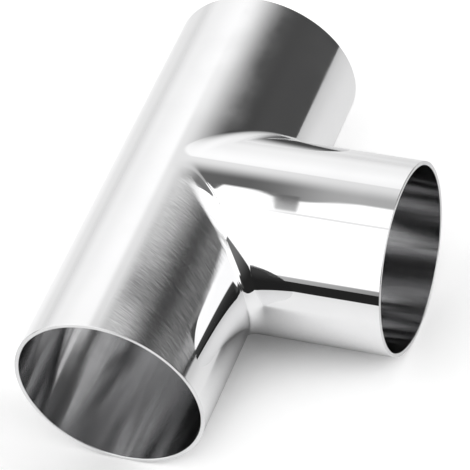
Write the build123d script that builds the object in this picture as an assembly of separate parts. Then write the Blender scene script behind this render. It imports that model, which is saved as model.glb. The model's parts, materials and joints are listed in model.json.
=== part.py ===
from build123d import *
import os
from math import sqrt

# Equal tee for butt welding, formed from one length of thin stainless tube.
# The run lies along Y, the branch leaves it along +X and +Z is up.
# The origin is where the axes of the run and the branch cross.

# Driving dimensions, in millimetres
TUBE_OD = 76.2  # outside diameter of the run and of the branch
TUBE_WALL = 1.65  # wall of the drawn tube, the same all over
RUN_REACH = 90.5  # from the branch's axis to either end of the run
BRANCH_REACH = 90.5  # from the run's axis to the end of the branch
CROTCH_ON_BRANCH = 6.0  # how far the outside rounding of the crotch reaches out along the branch
CROTCH_ON_RUN = 3.0  # and how far along the run, both level with the axes
CROWN_ON_BRANCH = 6.0  # reach of the same rounding along the branch at the crown, where it ends flat
CROWN_ON_RUN = 5.0  # and along the run
EDGE_BREAK = 0.2  # chamfer that takes the burr off both edges of each end

# What the sizes give
OUTER_RADIUS = TUBE_OD / 2
INNER_RADIUS = OUTER_RADIUS - TUBE_WALL
CROWN = (CROWN_ON_BRANCH, CROWN_ON_RUN)
OUTER_CROTCH = (CROTCH_ON_BRANCH, CROTCH_ON_RUN)
INNER_CROTCH = (CROTCH_ON_BRANCH + TUBE_WALL, CROTCH_ON_RUN + TUBE_WALL)

# Modelling allowance
OVERRUN = 1.0  # how far the hollow is drawn past each end, so that it opens cleanly

# Weights that make a curve of three control points an exact quarter of an ellipse
QUARTER = (1, sqrt(0.5), 1)


def plan_corner(side, reach, radius):
    """Control points of the rounded corner between run and branch, cut level, on one side of the branch."""
    along_branch, along_run = reach
    return [(radius, side * (radius + along_run)), (radius, side * radius), (radius + along_branch, side * radius)]


def crotch_skin(side, crown, reach, radius):
    """One quarter of the rounded root of the branch, on one side of it and above or below the axes.

    Cut level at any height, the two tubes meet in a square corner, and a quarter of an ellipse
    rounds it. Its reach goes evenly from that level with the axes to that at the crown, so the
    skin meets both tubes without a kink and ends level with their common tangent plane.
    """
    height = crown * radius
    level = plan_corner(side, reach, radius)
    top = plan_corner(side, CROWN, 0)
    weights = [[across * up for across in QUARTER] for up in QUARTER]
    rows = [
        [(x, y, 0) for x, y in level],
        [(x, y, height) for x, y in level],
        [(x, y, height) for x, y in top],
    ]
    return Face.make_bezier_surface(rows, weights)


def skin_edges(skin):
    """The edges of a skin up the run and up the branch, and the one round the crown."""
    level, first, second, top = skin.edges().sort_by(lambda edge: abs(edge.center().Z))
    up_run, up_branch = sorted((first, second), key=lambda edge: edge.center().X)
    return up_run, up_branch, top


def root_block(reach, radius):
    """The middle of the tee, between the run and the branch, with its four rounded skins."""
    on_branch, on_run = CROWN
    skins = {(side, crown): crotch_skin(side, crown, reach, radius) for side in (1, -1) for crown in (1, -1)}
    edges = {place: skin_edges(skin) for place, skin in skins.items()}
    faces = list(skins.values())
    for side in (1, -1):
        for foot, top in enumerate([(0, side * on_run), (on_branch, 0)]):
            spine = Edge.make_line((*top, -radius), (*top, radius))
            faces.append(Face(Wire([edges[side, 1][foot], edges[side, -1][foot], spine])))
    for crown in (1, -1):
        height = crown * radius
        back = Edge.make_line((0, -on_run, height), (0, on_run, height))
        faces.append(Face(Wire([edges[1, crown][-1], edges[-1, crown][-1], back])))
    corners = [(0, y, z) for y, z in ((-on_run, -radius), (on_run, -radius), (on_run, radius), (-on_run, radius))]
    faces.append(Face(Wire.make_polygon(corners, close=True)))
    return Solid(Shell(faces))


def plan_wedge(start, flare, depth, height):
    """Upright prism over a strip of the plan that starts across the run's axis and opens along X.

    It starts at x = start with the half width flare[0] and is flare[1] wider for each millimetre.
    """
    narrow, slope = flare
    wide = narrow + slope * depth
    corners = [(start, -narrow), (start + depth, -wide), (start + depth, wide), (start, narrow)]
    if narrow == 0:
        corners.pop()
    return extrude(make_face(Polyline(*corners, close=True)), height, both=True)


def tee_form(radius, reach, run_reach, branch_reach):
    """Solid tee of two equal round bars with the root of the branch rounded into the run."""
    on_branch, on_run = reach
    crown_on_branch, crown_on_run = CROWN
    run_flare = (crown_on_run, (radius + on_run - crown_on_run) / radius)
    branch_flare = (0, radius / (radius + on_branch - crown_on_branch))
    run = Cylinder(radius, 2 * run_reach, rotation=(90, 0, 0))
    run -= plan_wedge(0, run_flare, 2 * radius, 2 * radius)
    branch = Cylinder(
        radius,
        branch_reach,
        rotation=(0, 90, 0),
        align=(Align.CENTER, Align.CENTER, Align.MIN),
    )
    branch &= plan_wedge(crown_on_branch, branch_flare, 2 * branch_reach, 2 * radius)
    return run + root_block(reach, radius) + branch


def tee_body():
    """The tube wall between the outer form and the hollow, with its ends deburred."""
    outside = tee_form(OUTER_RADIUS, OUTER_CROTCH, RUN_REACH, BRANCH_REACH)
    hollow = tee_form(INNER_RADIUS, INNER_CROTCH, RUN_REACH + OVERRUN, BRANCH_REACH + OVERRUN)
    body = outside - hollow
    return chamfer(body.edges().filter_by(GeomType.CIRCLE), EDGE_BREAK)


os.makedirs("parts", exist_ok=True)
export_step(tee_body(), "parts/tee_body.step")
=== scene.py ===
import json
from math import cos, degrees, pi, radians, sin

import bpy
from mathutils import Matrix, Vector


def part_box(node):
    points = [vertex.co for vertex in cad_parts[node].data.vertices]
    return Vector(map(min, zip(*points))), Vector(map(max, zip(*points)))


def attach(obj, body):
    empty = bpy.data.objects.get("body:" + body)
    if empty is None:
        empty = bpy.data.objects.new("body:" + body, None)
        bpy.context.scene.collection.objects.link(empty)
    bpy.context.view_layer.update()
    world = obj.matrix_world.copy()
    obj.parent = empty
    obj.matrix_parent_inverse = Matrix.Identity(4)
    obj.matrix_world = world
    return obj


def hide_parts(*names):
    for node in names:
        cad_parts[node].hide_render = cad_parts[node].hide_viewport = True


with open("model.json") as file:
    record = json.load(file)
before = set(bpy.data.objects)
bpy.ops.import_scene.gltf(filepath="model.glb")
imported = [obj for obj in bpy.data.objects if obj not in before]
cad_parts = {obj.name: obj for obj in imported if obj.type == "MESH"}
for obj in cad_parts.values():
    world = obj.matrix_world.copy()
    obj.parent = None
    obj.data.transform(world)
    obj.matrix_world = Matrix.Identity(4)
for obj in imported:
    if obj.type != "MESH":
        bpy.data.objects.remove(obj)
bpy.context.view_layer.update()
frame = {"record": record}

MM = 0.001

# Sizes of the tee, taken from the frame
mounts = {mount["name"]: mount for mount in frame["record"]["mounts"]}
run_bore = mounts["run_bore"]["dims"]
low_corner, high_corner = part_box("tee_body")
OUTER = high_corner.z  # outside radius of run and branch
REACH = high_corner.y  # from the middle to each end
WALL = OUTER - run_bore["r_mm"] * MM
CHAMFER = REACH - run_bore["length_mm"] * MM / 2

# Rounded root of the branch: its reach along the branch and along the run
LEVEL_REACH = (6.0 * MM, 3.0 * MM)  # level with the axes
CROWN_REACH = (6.0 * MM, 5.0 * MM)  # at the crown, where it ends flat

# How finely the skin is divided
ARC_STEPS = 24  # across the rounded root
RISE_STEPS = 64  # from level with the axes up to the crown
BACK_CUTS = 11  # cuts along the back of the run
FIRST_RING = 1.0 * MM  # from the rounded root to a tube's first ring
NEAR = 2e-6  # points nearer than this are one
BLUNT = radians(30)  # faces that meet at less than this are shaded as one

# Places in the tee's list of materials; the outside comes first
INSIDE, RIM = 1, 2

# Brightness of the studio, where 1 is white
ROOM = 0.075  # unlit room; also painted on the table past its edges as the metal mirrors it
BOX = 1.35  # soft boxes
SPILL = 0.6  # ceiling beside the boxes
LOW_FRONT = 0.02  # unlit room low down in front, where it is darkest; also painted on the table past its front edge
NO_LIMIT = 2.0  # brighter than anything here
LINE = 0.01  # half the width of the dark line between the two boxes

# The white table top
TABLE = 24.0  # its side
FRONT_EDGE = (6.9 * OUTER, 7.1 * OUTER)  # where it ends in front, past which the metal mirrors a painted dark room
RIGHT_EDGE = (10.2 * OUTER, 10.8 * OUTER)  # and on the right
PAINTED_SHADOW_REACH = 0.12  # how far from the tee the painted shadow on the table reaches

# The photograph's viewpoint, from the camera fit
VIEWPOINT = (0.41638, -0.75706, 0.86532)
TURN = 27.7669  # degrees about the vertical
DOWN = 45.4087  # degrees below level
ROLL = -11.2437  # degrees about the line of sight
SENSOR = 36.0  # width in millimetres
LENS = 239.18  # focal length in millimetres


# The tee's skin, drawn up from its plan

def select_where(tee, kind, test):
    """Selects, in edit mode, the vertices, or the edges whose two ends both pass the test."""
    bpy.ops.mesh.select_mode(type=kind)
    bpy.ops.mesh.select_all(action="DESELECT")
    bpy.ops.object.mode_set(mode="OBJECT")
    vertices = tee.data.vertices
    if kind == "VERT":
        for vertex in vertices:
            vertex.select = test(vertex.co)
    else:
        for edge in tee.data.edges:
            edge.select = all(test(vertices[i].co) for i in edge.vertices)
    bpy.ops.object.mode_set(mode="EDIT")


def root_size(k):
    """How far the rounded root reaches along the branch and along the run at one height.

    k is the tube's half width at that height over its radius: 1 level with the axes, 0 at the crown.
    """
    return [crown + (level - crown) * k for level, crown in zip(LEVEL_REACH, CROWN_REACH)]


def root_centre(k, side, z):
    """Centre of the ellipse that rounds the root at that height."""
    on_branch, on_run = root_size(k)
    return (OUTER * k + on_branch, side * (OUTER * k + on_run), z)


def back_size(k):
    """Half width and half length of the run's back at that height."""
    return (OUTER * k, root_centre(k, 1, 0)[1])


def steps_to_crown():
    """Angle at the foot and at the head of each step from level with the axes up to the crown."""
    angles = [pi / 2 * step / RISE_STEPS for step in range(RISE_STEPS + 1)]
    return zip(angles, angles[1:])


def plan_outline():
    """The skin's outline level with the axes: the back of the run and the rounded corners at the root."""
    half_width, half_length = back_size(1)
    bpy.ops.object.select_all(action="DESELECT")
    bpy.ops.mesh.primitive_plane_add(size=2 * half_length, location=(half_length - half_width, 0, 0))
    tee = bpy.context.object
    tee.name = "tee_formed_wall"
    bpy.ops.object.transform_apply(location=True)
    bpy.ops.object.mode_set(mode="EDIT")
    select_where(tee, "VERT", lambda c: c.x > 0)
    bpy.ops.mesh.delete(type="VERT")
    bpy.ops.mesh.select_all(action="SELECT")
    bpy.ops.mesh.subdivide(number_cuts=BACK_CUTS)
    on_branch, on_run = root_size(1)
    for side in (1, -1):
        centre = root_centre(1, side, 0)
        bpy.ops.mesh.primitive_circle_add(vertices=4 * ARC_STEPS, radius=on_run, location=centre)
        bpy.ops.transform.resize(value=(on_branch / on_run, 1, 1), center_override=centre)
    # Of each ellipse only the quarter that faces the tee's middle stays
    last_x, last_y, _ = root_centre(1, 1, 0)
    select_where(tee, "VERT", lambda c: c.x > last_x + NEAR or (c.x > 0 and abs(c.y) > last_y + NEAR))
    bpy.ops.mesh.delete(type="VERT")
    return tee


def raise_root(tee, side, up):
    """Draws one rounded corner up, or down, to the crown."""
    select_where(tee, "EDGE", lambda c: abs(c.z) < NEAR and c.x > 0 and c.y * side > 0)
    for foot, head in steps_to_crown():
        start = root_centre(cos(foot), side, up * OUTER * sin(foot))
        stop = root_centre(cos(head), side, up * OUTER * sin(head))
        shift = [b - a for a, b in zip(start, stop)]
        growth = [b / a for a, b in zip(root_size(cos(foot)), root_size(cos(head)))]
        bpy.ops.mesh.extrude_region_move(TRANSFORM_OT_translate={"value": shift})
        bpy.ops.transform.resize(value=(*growth, 1), center_override=stop)


def raise_back(tee, up):
    """Draws the back of the run up, or down, to the crown."""
    select_where(tee, "EDGE", lambda c: abs(c.z) < NEAR and c.x < 0)
    for foot, head in steps_to_crown():
        start, stop = back_size(cos(foot)), back_size(cos(head))
        shift = (start[0] - stop[0], 0, up * OUTER * (sin(head) - sin(foot)))
        bpy.ops.mesh.extrude_region_move(TRANSFORM_OT_translate={"value": shift})
        bpy.ops.transform.resize(value=(1, stop[1] / start[1], 1), center_override=(0, 0, 0))


def draw_barrel(tee, way, on_cut):
    """Draws one tube out from the root: a first ring close by, then straight to its square end."""
    select_where(tee, "EDGE", on_cut)
    for _ in range(2):
        bpy.ops.mesh.extrude_region_move(
            TRANSFORM_OT_translate={"value": [part * FIRST_RING for part in way]}
        )
    flat = [0 if part else 1 for part in way]
    bpy.ops.transform.resize(value=flat, center_override=[part * REACH for part in way])


def tee_skin():
    """The outer skin of the tee as one sheet."""
    tee = plan_outline()
    for up in (1, -1):
        raise_back(tee, up)
        for side in (1, -1):
            raise_root(tee, side, up)
    bpy.ops.mesh.select_all(action="SELECT")
    bpy.ops.mesh.remove_doubles(threshold=NEAR)
    for up in (1, -1):
        select_where(tee, "EDGE", lambda c: abs(c.z - up * OUTER) < NEAR)
        bpy.ops.mesh.edge_face_add()
    # The edges from which the tubes are drawn run straight from the crown to level, as seen from above
    crown_x, crown_y, _ = root_centre(0, 1, 0)
    level_x, level_y, _ = root_centre(1, 1, 0)
    run_slope = (level_y - crown_y) / OUTER
    branch_slope = (level_x - crown_x) / OUTER
    for side in (1, -1):
        draw_barrel(
            tee,
            (0, side, 0),
            lambda c: c.y * side > 0 and abs(abs(c.y) - crown_y - run_slope * abs(c.x)) < NEAR,
        )
    draw_barrel(
        tee,
        (1, 0, 0),
        lambda c: c.x > 0 and abs(c.x - crown_x - branch_slope * abs(c.y)) < NEAR,
    )
    bpy.ops.mesh.select_all(action="SELECT")
    bpy.ops.mesh.normals_make_consistent(inside=False)
    bpy.ops.object.mode_set(mode="OBJECT")
    return tee


def give_wall(tee):
    """Gives the skin its thickness inwards and takes the burr off the rims."""
    wall = tee.modifiers.new("wall", "SOLIDIFY")
    wall.thickness = WALL
    wall.offset = -1
    wall.use_even_offset = True
    wall.material_offset = INSIDE
    wall.material_offset_rim = RIM
    bpy.ops.object.modifier_apply(modifier=wall.name)
    deburr = tee.modifiers.new("deburr", "BEVEL")
    deburr.width = CHAMFER
    deburr.segments = 1
    deburr.limit_method = "ANGLE"
    deburr.material = RIM
    bpy.ops.object.modifier_apply(modifier=deburr.name)
    bpy.ops.object.select_all(action="DESELECT")
    tee.select_set(True)
    bpy.context.view_layer.objects.active = tee
    bpy.ops.object.shade_smooth_by_angle(angle=BLUNT)


# Node wiring

class Wiring:
    """Adds nodes to one tree and joins them, so that a finish reads as a formula."""

    def __init__(self, tree):
        self.tree = tree

    def node(self, kind, settings=None, inputs=None):
        new = self.tree.nodes.new("ShaderNode" + kind)
        for name, value in (settings or {}).items():
            setattr(new, name, value)
        for name, value in (inputs or {}).items():
            self.feed(new.inputs[name], value)
        return new

    def feed(self, socket, value):
        """Joins an output to the socket, or writes a plain value into it."""
        if isinstance(value, bpy.types.NodeSocket):
            self.tree.links.new(value, socket)
        else:
            socket.default_value = value

    def math(self, operation, *values):
        new = self.node("Math", {"operation": operation})
        for socket, value in zip(new.inputs, values):
            self.feed(socket, value)
        return new.outputs[0]

    def add(self, first, *others):
        for other in others:
            first = self.math("ADD", first, other)
        return first

    def minus(self, first, second):
        return self.math("SUBTRACT", first, second)

    def times(self, first, *others):
        for other in others:
            first = self.math("MULTIPLY", first, other)
        return first

    def larger(self, first, second):
        return self.math("MAXIMUM", first, second)

    def smaller(self, first, second):
        return self.math("MINIMUM", first, second)

    def rise(self, value, start, stop, low=0.0, high=1.0):
        """Goes softly from low to high while the value goes from start to stop."""
        limits = {"Value": value, "From Min": start, "From Max": stop, "To Min": low, "To Max": high}
        return self.node("MapRange", {"interpolation_type": "SMOOTHSTEP"}, limits).outputs["Result"]

    def fall(self, value, start, stop):
        """Goes softly from 1 to 0 while the value goes from start to stop."""
        return self.rise(value, start, stop, 1.0, 0.0)

    def band(self, value, start, full, fade, stop):
        """Is 1 while the value is between full and fade, and 0 before start and past stop."""
        return self.times(self.rise(value, start, full), self.fall(value, fade, stop))

    def blend(self, share, first, second):
        """The first value where the share is 0, the second where it is 1."""
        return self.node("Mix", inputs={"Factor": share, "A": first, "B": second}).outputs["Result"]

    def grey(self, tone):
        """A neutral metal colour, a touch cooler in the blue."""
        inputs = {"Red": tone, "Green": tone, "Blue": self.add(tone, 0.005)}
        return self.node("CombineColor", inputs=inputs).outputs[0]

    def vector(self, x, y, z):
        return self.node("CombineXYZ", inputs={"X": x, "Y": y, "Z": z}).outputs[0]

    def parts(self, vector):
        """The vector's x, y and z."""
        return self.node("SeparateXYZ", inputs={"Vector": vector}).outputs

    def place(self):
        """Where a point lies on its piece, in metres."""
        return self.node("TexCoord").outputs["Object"]


def new_group(name, inputs, outputs):
    """A node group with named number sockets; returns it, its wiring and its two end nodes."""
    group = bpy.data.node_groups.new(name, "ShaderNodeTree")
    for socket in inputs:
        group.interface.new_socket(socket, in_out="INPUT", socket_type="NodeSocketFloat")
    for socket in outputs:
        group.interface.new_socket(socket, in_out="OUTPUT", socket_type="NodeSocketFloat")
    start = group.nodes.new("NodeGroupInput")
    stop = group.nodes.new("NodeGroupOutput")
    return group, Wiring(group), start, stop


def use_group(w, group, inputs=None):
    """Places the group in a material and returns its outputs."""
    new = w.tree.nodes.new("ShaderNodeGroup")
    new.node_tree = group
    for name, value in (inputs or {}).items():
        w.feed(new.inputs[name], value)
    return new.outputs


def is_on_branch(w, x, y):
    """1 on the branch and 0 on the run; they part in the middle of the rounded root."""
    return w.math("GREATER_THAN", x, w.math("ABSOLUTE", y))


def tube_axis(w):
    """Axis of the tube that a point lies on: metal brushed round a tube spreads light along it."""
    x, y, _ = w.parts(w.place())
    on_branch = is_on_branch(w, x, y)
    return w.vector(on_branch, w.minus(1.0, on_branch), 0.0)


def tube_place_group():
    """Where a point lies on its own tube: along its axis and around it, in millimetres."""
    group, w, _, stop = new_group("place_on_tube", [], ["along", "around", "on_branch"])
    x, y, z = w.parts(w.place())
    on_branch = is_on_branch(w, x, y)
    run_angle = w.math("ARCTAN2", x, z)
    branch_angle = w.math("ARCTAN2", w.times(y, -1.0), z)
    along = w.blend(on_branch, y, x)
    angle = w.blend(on_branch, run_angle, branch_angle)
    w.feed(stop.inputs["along"], w.times(along, 1 / MM))
    w.feed(stop.inputs["around"], w.times(angle, OUTER / MM))
    w.feed(stop.inputs["on_branch"], on_branch)
    return group


def lines_group():
    """Fine drawn or polished lines: noise stretched along one way, from 0 to 1."""
    names = ["across", "lengthwise", "spacing", "length", "seed"]
    group, w, start, stop = new_group("fine_lines", names, ["lines"])
    given = start.outputs
    place = w.vector(
        w.math("DIVIDE", given["across"], given["spacing"]),
        w.math("DIVIDE", given["lengthwise"], given["length"]),
        given["seed"],
    )
    noise = w.node("TexNoise", inputs={"Vector": place, "Scale": 1.0, "Detail": 2.0, "Roughness": 0.6})
    w.feed(stop.inputs["lines"], w.rise(noise.outputs["Fac"], 0.3, 0.7))
    return group


def smudges_group():
    """Soft uneven patches left by polishing and handling, from 0 to 1, and a slight waviness of the wall."""
    group, w, start, stop = new_group("smudges", ["size"], ["patches", "waves"])
    place = w.place()
    scale = w.math("DIVIDE", 1.0, start.outputs["size"])
    patches = w.node("TexNoise", inputs={"Vector": place, "Scale": scale, "Detail": 3.0, "Roughness": 0.6})
    waves = w.node("TexNoise", inputs={"Vector": place, "Scale": w.times(scale, 0.7), "Detail": 0.0})
    w.feed(stop.inputs["patches"], w.rise(patches.outputs["Fac"], 0.35, 0.7))
    w.feed(stop.inputs["waves"], waves.outputs["Fac"])
    return group


PLACE_ON_TUBE = tube_place_group()
FINE_LINES = lines_group()
SMUDGES = smudges_group()


# The tee's finishes

def new_material(name, anisotropic=0.0):
    """A bare metal: its wiring, its Principled shader and the place on the tube."""
    material = bpy.data.materials.new(name)
    material.use_nodes = True
    w = Wiring(material.node_tree)
    shader = material.node_tree.nodes["Principled BSDF"]
    shader.inputs["Metallic"].default_value = 1.0
    shader.inputs["Anisotropic"].default_value = anisotropic
    return material, w, shader, use_group(w, PLACE_ON_TUBE)


def fine_lines(w, across, lengthwise, spacing, length, seed):
    """Lines of one finish, with their spacing and length in millimetres."""
    inputs = {"across": across, "lengthwise": lengthwise, "spacing": spacing, "length": length, "seed": seed}
    return use_group(w, FINE_LINES, inputs)["lines"]


def polished_outside():
    """Mirror polish; the near half of the run is only brushed round, which hazes it along its axis."""
    material, w, shader, place = new_material("polished_outside", anisotropic=1.0)
    along, around, on_branch = place["along"], place["around"], place["on_branch"]
    on_run = w.minus(1.0, on_branch)
    to_near_end = w.times(along, -1.0)  # in millimetres from the middle
    angle = w.times(around, degrees(MM / OUTER))  # in degrees from the crown
    smudges = use_group(w, SMUDGES, {"size": 0.02})
    patches = smudges["patches"]

    # Brushed from the crown down to 52 degrees, and at the near end 10 degrees further down
    end_drop = w.rise(to_near_end, 72.0, 80.0, 0.0, 10.0)
    above_edge = w.fall(w.minus(angle, end_drop), 50.5, 53.5)
    past_middle = w.rise(to_near_end, 0.0, 12.0)
    past_crown = w.rise(angle, -12.0, 12.0)
    near_half = w.times(on_run, past_middle, past_crown, above_edge)

    # Darker towards the near end, most of all in one patch, and less so again at the rim
    darker_patch = w.times(w.band(to_near_end, 50.0, 68.0, 70.0, 80.0), w.band(angle, 5.0, 9.0, 17.0, 26.0))
    by_length = w.add(w.rise(to_near_end, 12.0, 70.0), w.rise(to_near_end, 70.0, 88.0, 0.0, -0.6))
    below_crown = w.rise(angle, 2.0, 12.0)
    near_end_darkening = w.times(near_half, below_crown, w.add(by_length, w.times(darker_patch, 0.6)))

    slant = radians(22)  # the belt ran a little askew
    across = w.add(w.times(along, cos(slant)), w.times(around, sin(slant)))
    lengthwise = w.minus(w.times(around, cos(slant)), w.times(along, sin(slant)))
    brushed = fine_lines(w, across, lengthwise, spacing=0.32, length=7.0, seed=3.0)
    lined = w.times(near_half, w.rise(angle, 0.0, 12.0), w.minus(brushed, 0.5), 0.18)

    far_half = w.times(on_run, w.rise(along, 15.0, 30.0))
    mirror_roughness = w.blend(patches, 0.008, 0.02)
    far_roughness = w.times(far_half, w.blend(patches, 0.05, 0.08))
    brushed_roughness = w.blend(brushed, 0.15, 0.18)
    roughness = w.blend(near_half, w.add(mirror_roughness, far_roughness), brushed_roughness)
    base_tone = w.blend(patches, 0.855, 0.84)
    tone = w.add(base_tone, w.times(near_end_darkening, -0.25), lined)
    bump = w.node("Bump", inputs={"Strength": 1.0, "Distance": 0.00005, "Height": smudges["waves"]})
    w.feed(shader.inputs["Roughness"], roughness)
    w.feed(shader.inputs["Base Color"], w.grey(tone))
    w.feed(shader.inputs["Tangent"], tube_axis(w))
    w.feed(shader.inputs["Normal"], bump.outputs["Normal"])
    return material


def drawn_inside():
    """Duller skin inside, brushed round, with faint lines drawn along the tube."""
    material, w, shader, place = new_material("drawn_inside", anisotropic=1.0)
    patches = use_group(w, SMUDGES, {"size": 0.015})["patches"]
    drawn = fine_lines(w, place["around"], place["along"], spacing=1.2, length=200.0, seed=7.0)
    roughness = w.add(w.blend(patches, 0.095, 0.13), w.times(drawn, 0.015))
    tone = w.minus(w.blend(patches, 0.67, 0.60), w.times(drawn, 0.06))
    w.feed(shader.inputs["Roughness"], roughness)
    w.feed(shader.inputs["Base Color"], w.grey(tone))
    w.feed(shader.inputs["Tangent"], tube_axis(w))
    return material


def cut_rim():
    """Square cut ends, bright and turned smooth."""
    material, w, shader, place = new_material("cut_rim")
    turned = fine_lines(w, place["along"], place["around"], spacing=0.15, length=20.0, seed=11.0)
    w.feed(shader.inputs["Roughness"], w.blend(turned, 0.22, 0.3))
    w.feed(shader.inputs["Base Color"], w.grey(w.blend(turned, 0.78, 0.7)))
    return material


def formed_tee():
    """The tee in its finishes, standing for the CAD node."""
    piece = tee_skin()
    for material in (polished_outside(), drawn_inside(), cut_rim()):
        piece.data.materials.append(material)
    give_wall(piece)
    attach(piece, "root")
    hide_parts("tee_body")


# The studio. x, y and z are the direction in which it is seen from the tee, as a vector of length 1;
# height and bearing are the same direction in degrees.

def pale_wall(w, x, y, z, height):
    """The wall on the left, lighter higher up, with an unlit gap between it and the boxes overhead."""
    right_end = w.rise(height, 20.0, 45.0, 0.18, 0.0)
    wall = w.rise(w.minus(right_end, x), -0.25, 0.40)
    level = w.add(w.rise(height, -5.0, 14.0, 0.80, 1.03), w.rise(height, 14.0, 40.0, 0.0, 0.14))
    far_gap = w.times(w.fall(y, 0.64, 0.665), w.rise(x, -0.46, -0.36, 0.0, 0.2))
    depth = w.add(w.rise(x, -0.325, -0.292, 0.68, 0.36), w.rise(x, -0.28, -0.26, 0.0, 0.22))
    near_gap = w.times(w.fall(y, 0.34, 0.62), depth)
    gap = w.times(w.add(far_gap, near_gap), w.rise(z, 0.45, 0.65))
    return w.times(w.blend(wall, ROOM, level), w.minus(1.0, gap))


def dividing_line(w, y):
    """How far right the dark line between the two boxes lies, and how far its two edges spread."""
    in_front = w.larger(w.minus(-0.1, y), 0.0)
    bend = w.times(w.math("POWER", in_front, 2.0), 2.0)
    middle = w.minus(w.rise(y, 0.0, 0.3, 0.48, 0.62), bend)
    spread = w.rise(y, 0.0, 0.36, 0.04, 0.15)
    return middle, spread


def left_box(w, x, y, z, height, line, spread):
    """The box in front and overhead: its far edge steps back over the tee, its right edge is the line."""
    over_tee = w.rise(w.minus(x, w.times(y, 0.3)), -0.225, -0.2)
    far_edge = w.minus(0.41, w.times(w.larger(w.minus(x, 0.15), 0.0), 0.25))
    # Past the crown its edge steps out, in, out and in again
    near_edge = w.add(
        w.rise(x, -0.336, -0.332, 0.06, 0.18),
        w.rise(x, -0.323, -0.316, 0.0, -0.10),
        w.rise(x, -0.31, -0.29, 0.0, 0.13),
        w.rise(x, -0.28, -0.265, 0.0, -0.21),
    )
    beyond = w.minus(y, w.blend(over_tee, near_edge, far_edge))
    slanting = w.add(w.times(z, 0.513), w.times(y, 0.1), -0.229)
    unlit_edge = w.larger(slanting, -0.2)
    right_edge = w.blend(w.fall(y, -0.46, -0.36), w.minus(line, LINE), unlit_edge)
    return w.times(
        w.fall(beyond, -0.03, w.blend(over_tee, 0.03, 0.04)),
        w.fall(w.minus(x, right_edge), w.times(spread, -1.0), 0.02),
        w.rise(height, 4.0, 6.0),
    )


def right_box(w, x, y, bearing, height, line, spread):
    """The box on the right of the line; its foot rises towards the front."""
    foot = w.rise(bearing, 108.0, 126.0, 3.0, 18.0)
    return w.times(
        w.rise(w.minus(x, w.add(line, LINE)), -0.01, spread),
        w.fall(y, 0.28, 0.50),
        w.fall(bearing, 134.0, 141.0),
        w.rise(w.minus(height, foot), 0.0, 4.0),
    )


def pole_and_seam(w, x, y, light):
    """Darkens the light where a thin pole and a short seam show before the boxes overhead."""
    pole = w.times(w.band(x, -0.3185, -0.3175, -0.3095, -0.3085), w.band(y, -0.24, -0.1, 0.17, 0.25))
    seam = w.times(w.band(x, -0.33, -0.31, -0.28, -0.27), w.band(y, -0.215, -0.195, -0.175, -0.155))
    brightest = w.blend(pole, NO_LIMIT, w.rise(y, -0.2, 0.15, 0.60, 0.18))
    return w.smaller(w.minus(light, w.times(seam, 0.4)), brightest)


def studio_world():
    """Two soft boxes, a pale wall and an unlit room, by direction; the camera itself sees plain white."""
    world = bpy.data.worlds.new("studio")
    bpy.context.scene.world = world
    world.use_nodes = True
    w = Wiring(world.node_tree)
    x, y, z = w.parts(w.node("TexCoord").outputs["Generated"])
    # The bearing is 0 along +Y, 90 along +X and 180 along -Y
    bearing = w.add(w.times(w.math("ARCTAN2", w.times(y, -1.0), x), degrees(1)), 90.0)
    height = w.times(w.math("ARCSINE", z), degrees(1))

    light = pale_wall(w, x, y, z, height)
    ceiling = w.times(w.band(x, -0.18, -0.08, 0.1, 0.5), w.fall(y, 0.58, 0.66), w.rise(z, 0.5, 0.6))
    light = w.blend(ceiling, light, SPILL)
    unlit_front = w.times(w.band(bearing, 120.0, 135.0, 190.0, 205.0), w.fall(y, -0.2, -0.1))
    light = w.blend(unlit_front, light, w.rise(height, 6.0, 50.0, LOW_FRONT, 0.19))
    line, spread = dividing_line(w, y)
    light = w.blend(left_box(w, x, y, z, height, line, spread), light, BOX)
    light = w.blend(right_box(w, x, y, bearing, height, line, spread), light, BOX)
    light = pole_and_seam(w, x, y, light)

    seen = w.node("LightPath").outputs["Is Camera Ray"]
    background = world.node_tree.nodes["Background"]
    background.inputs["Color"].default_value = (1, 1, 1, 1)
    w.feed(background.inputs["Strength"], w.blend(seen, light, 1.0))


def table_glow_with_painted_shadow(w, x, y, away, open_sky):
    """Glow that whitens the table for the camera, with painted shadow: none close under the tee, where the
    tee shades it, and less by the near mouth.
    """
    # Painted shadow on the table beside the near mouth
    painted_mouth_shadow = w.times(
        w.fall(x, -0.01, 0.02),
        w.rise(w.times(y, -1.0), 0.05, 0.08),
        w.fall(away, 0.11, 0.16),
    )
    # Painted shadow: the glow fades out where the tee shades the table
    glow_out_of_painted_shadow = w.rise(open_sky, 0.09, 0.36, 0.0, 0.36)
    return w.times(glow_out_of_painted_shadow, w.minus(1.0, w.times(painted_mouth_shadow, 0.6)))


def table_painted_for_metal(w, x, y, away, open_sky):
    """Glow of the table as the metal mirrors it, a painted reflection: painted shadow close under the tee,
    and darker further away and to the right.
    """
    painted_dimming = w.add(
        w.rise(away, 0.08, 0.25, 0.0, 0.15),
        w.rise(away, 0.3, 0.8, 0.0, 0.07),
        w.times(w.rise(x, -0.06, 0.05), w.rise(y, -0.08, 0.04), 0.12),
        w.rise(x, 0.08, 0.3, 0.0, 0.12),
    )
    # Painted shadow in the mirrored table, where the tee shades it
    return w.times(w.rise(open_sky, 0.1, 0.7), w.minus(0.59, painted_dimming))


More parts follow.
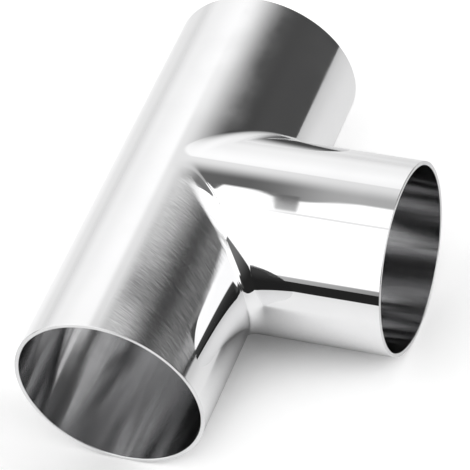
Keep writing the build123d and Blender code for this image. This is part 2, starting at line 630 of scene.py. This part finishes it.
def white_table():
    """Matte white that keeps the tee's shadow, deepened by painted shadow near the tee; past its edges the
    floor paints the unlit room dark for the metal to mirror.
    """
    material = bpy.data.materials.new("white_table")
    material.use_nodes = True
    nodes = material.node_tree.nodes
    nodes.remove(nodes["Principled BSDF"])
    w = Wiring(material.node_tree)
    x, y, _ = w.parts(w.place())
    from_metal = w.node("LightPath").outputs["Is Glossy Ray"]
    away = w.math("SQRT", w.add(w.times(x, x), w.times(y, y)))
    open_sky = w.node("AmbientOcclusion", {"samples": 8}, {"Distance": PAINTED_SHADOW_REACH}).outputs["AO"]

    camera_glow_painted_shadow = table_glow_with_painted_shadow(w, x, y, away, open_sky)
    metal_glow_painted = table_painted_for_metal(w, x, y, away, open_sky)
    glow = w.node("Emission", inputs={"Strength": w.blend(from_metal, camera_glow_painted_shadow, metal_glow_painted)})
    # Painted reflection: the metal sees the table's matte white darker than the camera does
    matte = w.node("BsdfDiffuse", inputs={"Color": w.blend(from_metal, 0.9, 0.5)})
    top = w.node("AddShader")
    w.feed(top.inputs[0], matte.outputs[0])
    w.feed(top.inputs[1], glow.outputs[0])

    # Painted reflection: past the table's edges the metal sees a dark glow that stands for the unlit room
    past_front = w.rise(w.times(y, -1.0), *FRONT_EDGE)
    past_right = w.rise(x, *RIGHT_EDGE)
    painted_dark_past_edge = w.times(w.larger(past_front, past_right), from_metal)
    unlit = w.node("Emission", inputs={"Strength": w.blend(past_front, ROOM, LOW_FRONT)})
    shown = w.node("MixShader", inputs={"Fac": painted_dark_past_edge})
    w.feed(shown.inputs[1], top.outputs[0])
    w.feed(shown.inputs[2], unlit.outputs[0])
    w.feed(nodes["Material Output"].inputs["Surface"], shown.outputs[0])
    return material


def floor():
    """A wide white table top under the tee."""
    bpy.ops.object.select_all(action="DESELECT")
    bpy.ops.mesh.primitive_plane_add(size=TABLE, location=(0, 0, low_corner.z))
    table = bpy.context.object
    table.name = "floor"
    bpy.ops.object.transform_apply(location=True)
    table.data.materials.append(white_table())


def camera():
    """The photograph's viewpoint."""
    bpy.ops.object.camera_add(location=VIEWPOINT)
    view = bpy.context.object
    turn = Matrix.Rotation(radians(TURN), 4, "Z")
    tilt = Matrix.Rotation(radians(90 - DOWN), 4, "X")
    roll = Matrix.Rotation(radians(ROLL), 4, "Z")
    view.rotation_euler = (turn @ tilt @ roll).to_euler()
    view.data.sensor_width = SENSOR
    view.data.lens = LENS
    bpy.context.scene.camera = view


formed_tee()
floor()
studio_world()
camera()
bpy.context.scene.view_settings.view_transform = "Standard"
